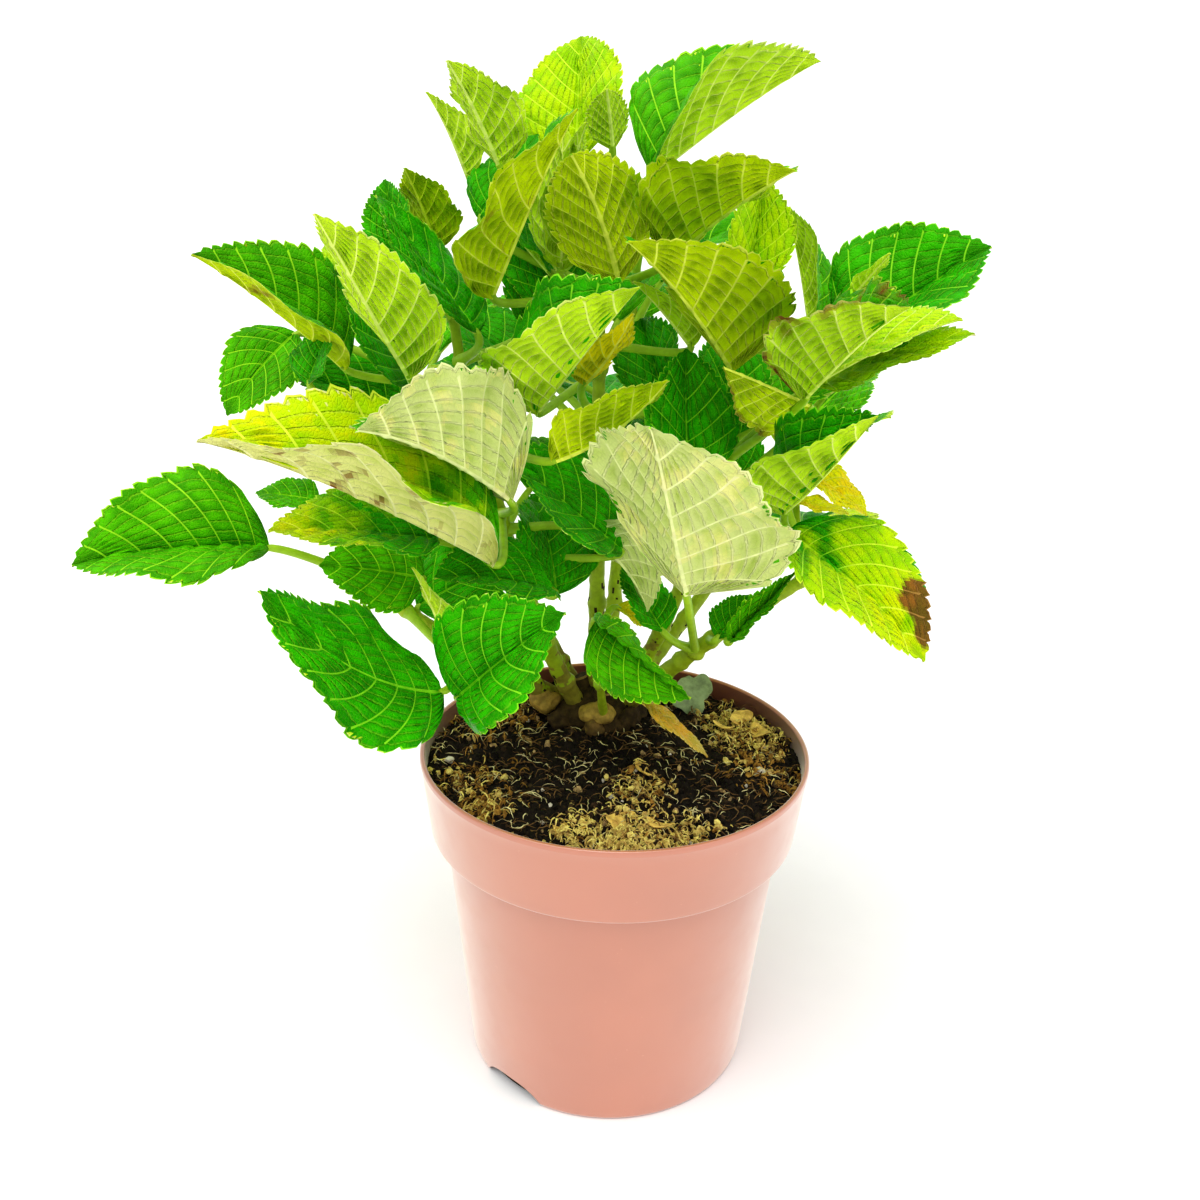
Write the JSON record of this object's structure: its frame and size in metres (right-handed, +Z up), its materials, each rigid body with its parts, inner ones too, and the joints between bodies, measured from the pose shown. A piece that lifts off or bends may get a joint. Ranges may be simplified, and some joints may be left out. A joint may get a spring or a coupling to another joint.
{
  "type": "potted hydrangea shrub",
  "caption": "Young bigleaf hydrangea shrub with broad toothed leaves on upright stems from a woody crown, standing in its round plastic nursery pot filled with soil.",
  "frame": {"origin": "middle of the pot's flat underside", "axes": "+Z up the plant, -Y towards the front, +X to the right as seen from the front"},
  "size_m": [0.3464, 0.3153, 0.4414],
  "materials": {
    "pot": "semi-gloss terracotta-coloured thin plastic",
    "soil": "crumbly dark peat",
    "bark": "rough brown bark",
    "stem": "smooth green stem with dark flecks",
    "leaf": "softly shining green leaf"
  },
  "bodies": {
    "root": {"pot": "pot", "soil": "soil", "crown": "bark", "stem_centre": "stem", "stem_right_back": "stem", "stem_left_top": "stem", "stem_left_front": "stem", "stem_right_front": "stem", "stem_left_low": "stem", "stem_back": "stem", "stem_back_left": "stem", "stem_back_right": "stem", "foliage_centre": "leaf", "foliage_right_back": "leaf", "foliage_left_top": "leaf", "foliage_left_front": "leaf", "foliage_right_front": "leaf", "foliage_left_low": "leaf", "foliage_back": "leaf", "foliage_back_left": "leaf", "foliage_back_right": "leaf", "foliage_sprout": "leaf"}
  },
  "joints": []
}
